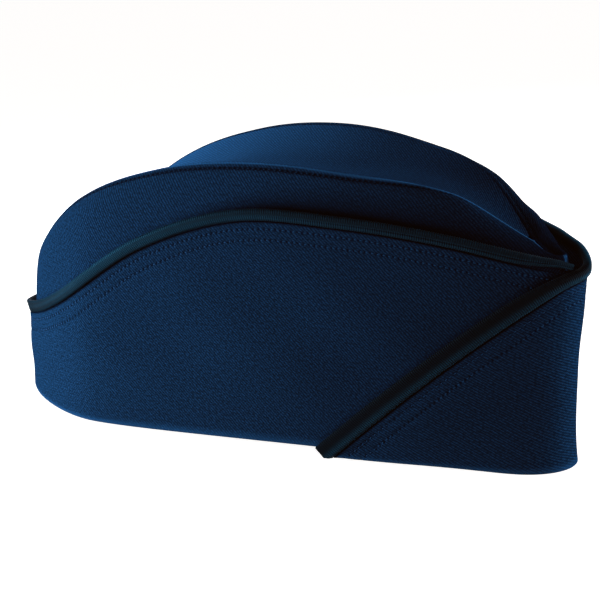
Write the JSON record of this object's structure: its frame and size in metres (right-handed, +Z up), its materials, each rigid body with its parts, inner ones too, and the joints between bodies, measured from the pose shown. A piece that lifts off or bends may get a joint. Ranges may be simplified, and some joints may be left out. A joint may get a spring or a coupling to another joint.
{
  "type": "side cap",
  "caption": "Folding cloth side cap with a sunk leaf-shaped top between ridge seams and a braid-edged turned-up curtain that overlaps in a slanting flap at the front; open below for the head.",
  "frame": {"origin": "on the surface the cap stands on, at the centre of its box", "axes": "+X to the front of the cap, +Y to the wearer's left, +Z up"},
  "size_m": [0.254, 0.1132, 0.1159],
  "materials": {
    "navy_cloth": "matt navy wool-blend twill with fine diagonal wales",
    "edge_braid": "dark blue-green ribbed braid with a low sheen"
  },
  "bodies": {
    "root": {"crown_side_right": "navy_cloth", "crown_side_left": "navy_cloth", "crown_top": "navy_cloth", "curtain_right": "navy_cloth", "curtain_left": "navy_cloth", "braid_right": "edge_braid", "braid_left": "edge_braid"}
  },
  "joints": []
}
